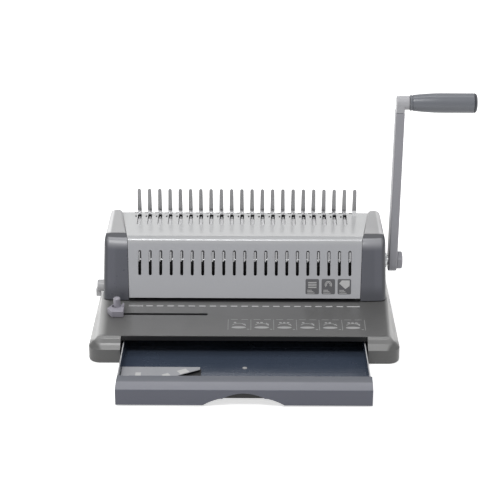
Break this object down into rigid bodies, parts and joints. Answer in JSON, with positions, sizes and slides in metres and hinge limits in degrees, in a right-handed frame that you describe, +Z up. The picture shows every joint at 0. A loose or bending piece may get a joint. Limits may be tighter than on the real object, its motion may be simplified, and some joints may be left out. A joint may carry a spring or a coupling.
{
  "type": "comb binding machine",
  "caption": "Desktop plastic-comb punch and binding machine with a side lever, a row of punches, comb-opening hooks and fingers, an edge guide and a pull-out chip drawer.",
  "frame": {"origin": "middle of the underside, on the lowest face of the base plate's pressed panel", "axes": "+X to the user's right, towards the lever; +Y to the back; +Z up"},
  "size_m": [0.5113, 0.3676, 0.3183],
  "materials": {
    "table_grey": "fine matt texture, dark warm grey top over lighter sides",
    "plate_black": "black painted steel",
    "rubber": "matt black",
    "cover_silver": "silver paint, satin",
    "deck_silver": "light silver, glossy",
    "cap_blue_grey": "moulded, satin, dark blue-grey",
    "light_grey": "moulded, satin, light grey",
    "frame_steel": "zinc-plated steel, bright",
    "gear_steel": "dark hardened steel",
    "nylon": "unpainted nylon",
    "lever_grey": "silver-grey paint, satin",
    "grip_blue_grey": "moulded, satin, dark blue-grey",
    "drawer_grey": "moulded, satin, dark grey",
    "drawer_blue": "moulded, glossy, dark blue-grey",
    "guide_lilac": "moulded, satin, warm mid grey"
  },
  "bodies": {
    "machine": {"base_cover": "table_grey", "base_plate": "plate_black", "foot_front_left": "rubber", "foot_front_right": "rubber", "foot_rear_left": "rubber", "foot_rear_right": "rubber", "front_cover": "cover_silver", "deck": "deck_silver", "end_cap_left": "cap_blue_grey", "end_cap_right": "cap_blue_grey", "cap_top_left": "light_grey", "cap_top_right": "light_grey", "rear_cover": "cap_blue_grey", "side_frame_left": "frame_steel", "side_frame_right": "frame_steel", "shaft_bush_left": "nylon", "shaft_bush_right": "nylon", "pin_guide": "plate_black", "die_plate": "gear_steel", "tie_rod": "frame_steel", "return_spring_left": "frame_steel", "return_spring_right": "frame_steel", "finger_plate": "gear_steel"},
    "lever": {"cross_shaft": "frame_steel", "shaft_clip": "gear_steel", "punch_wheel_left": "gear_steel", "punch_wheel_right": "gear_steel", "hook_sector_left": "gear_steel", "hook_sector_right": "gear_steel", "lever_collar": "frame_steel", "lever_arm": "lever_grey", "pivot_cap": "lever_grey", "lever_elbow": "light_grey", "grip_pin": "frame_steel"},
    "grip": {"grip": "grip_blue_grey"},
    "punches": {"punch_comb": "frame_steel", "punch_rack_left": "frame_steel", "punch_rack_right": "frame_steel"},
    "hooks": {"hook_plate": "frame_steel", "hook_rack_left": "frame_steel", "hook_rack_right": "frame_steel"},
    "drawer": {"drawer_front": "drawer_grey", "drawer_tray": "drawer_blue", "comb_gauge": "light_grey"},
    "edge_guide": {"edge_guide": "guide_lilac", "guide_post": "guide_lilac", "guide_clamp": "nylon"},
    "margin_control": {"margin_stop": "frame_steel", "margin_knob": "light_grey"}
  },
  "joints": [
    {"name": "lever_swing", "type": "hinge", "parent": "machine", "child": "lever", "pos_m": [0, 0.056, 0.0705], "axis": [1, 0, 0], "range_deg": [0, 70], "stiffness_Nm_per_rad": 1.5, "springref_deg": -28.65},
    {"name": "grip_turn", "type": "hinge", "parent": "lever", "child": "grip", "pos_m": [0.26, 0.03601, 0.30364], "axis": [1, 0, 0], "continuous": true},
    {"name": "punch_stroke", "type": "slide", "parent": "machine", "child": "punches", "axis": [0, 0, -1], "range_m": [0, 0.0148], "deforming": ["return_spring_left", "return_spring_right"]},
    {"name": "hook_travel", "type": "slide", "parent": "machine", "child": "hooks", "axis": [0, -0.9893, -0.1461], "range_m": [0, 0.0221]},
    {"name": "drawer_slide", "type": "slide", "parent": "machine", "child": "drawer", "axis": [0, -1, 0], "range_m": [-0.1105, 0.04]},
    {"name": "edge_guide_slide", "type": "slide", "parent": "machine", "child": "edge_guide", "axis": [1, 0, 0], "range_m": [0, 0.11]},
    {"name": "margin_turn", "type": "hinge", "parent": "machine", "child": "margin_control", "pos_m": [-0.197, 0.028, 0.0424], "axis": [1, 0, 0], "range_deg": [-45, 45]}
  ],
  "couplings": [
    {"joint": "punch_stroke", "follows": "lever_swing", "m_per_rad": 0.012},
    {"joint": "hook_travel", "follows": "lever_swing", "m_per_rad": 0.018}
  ]
}
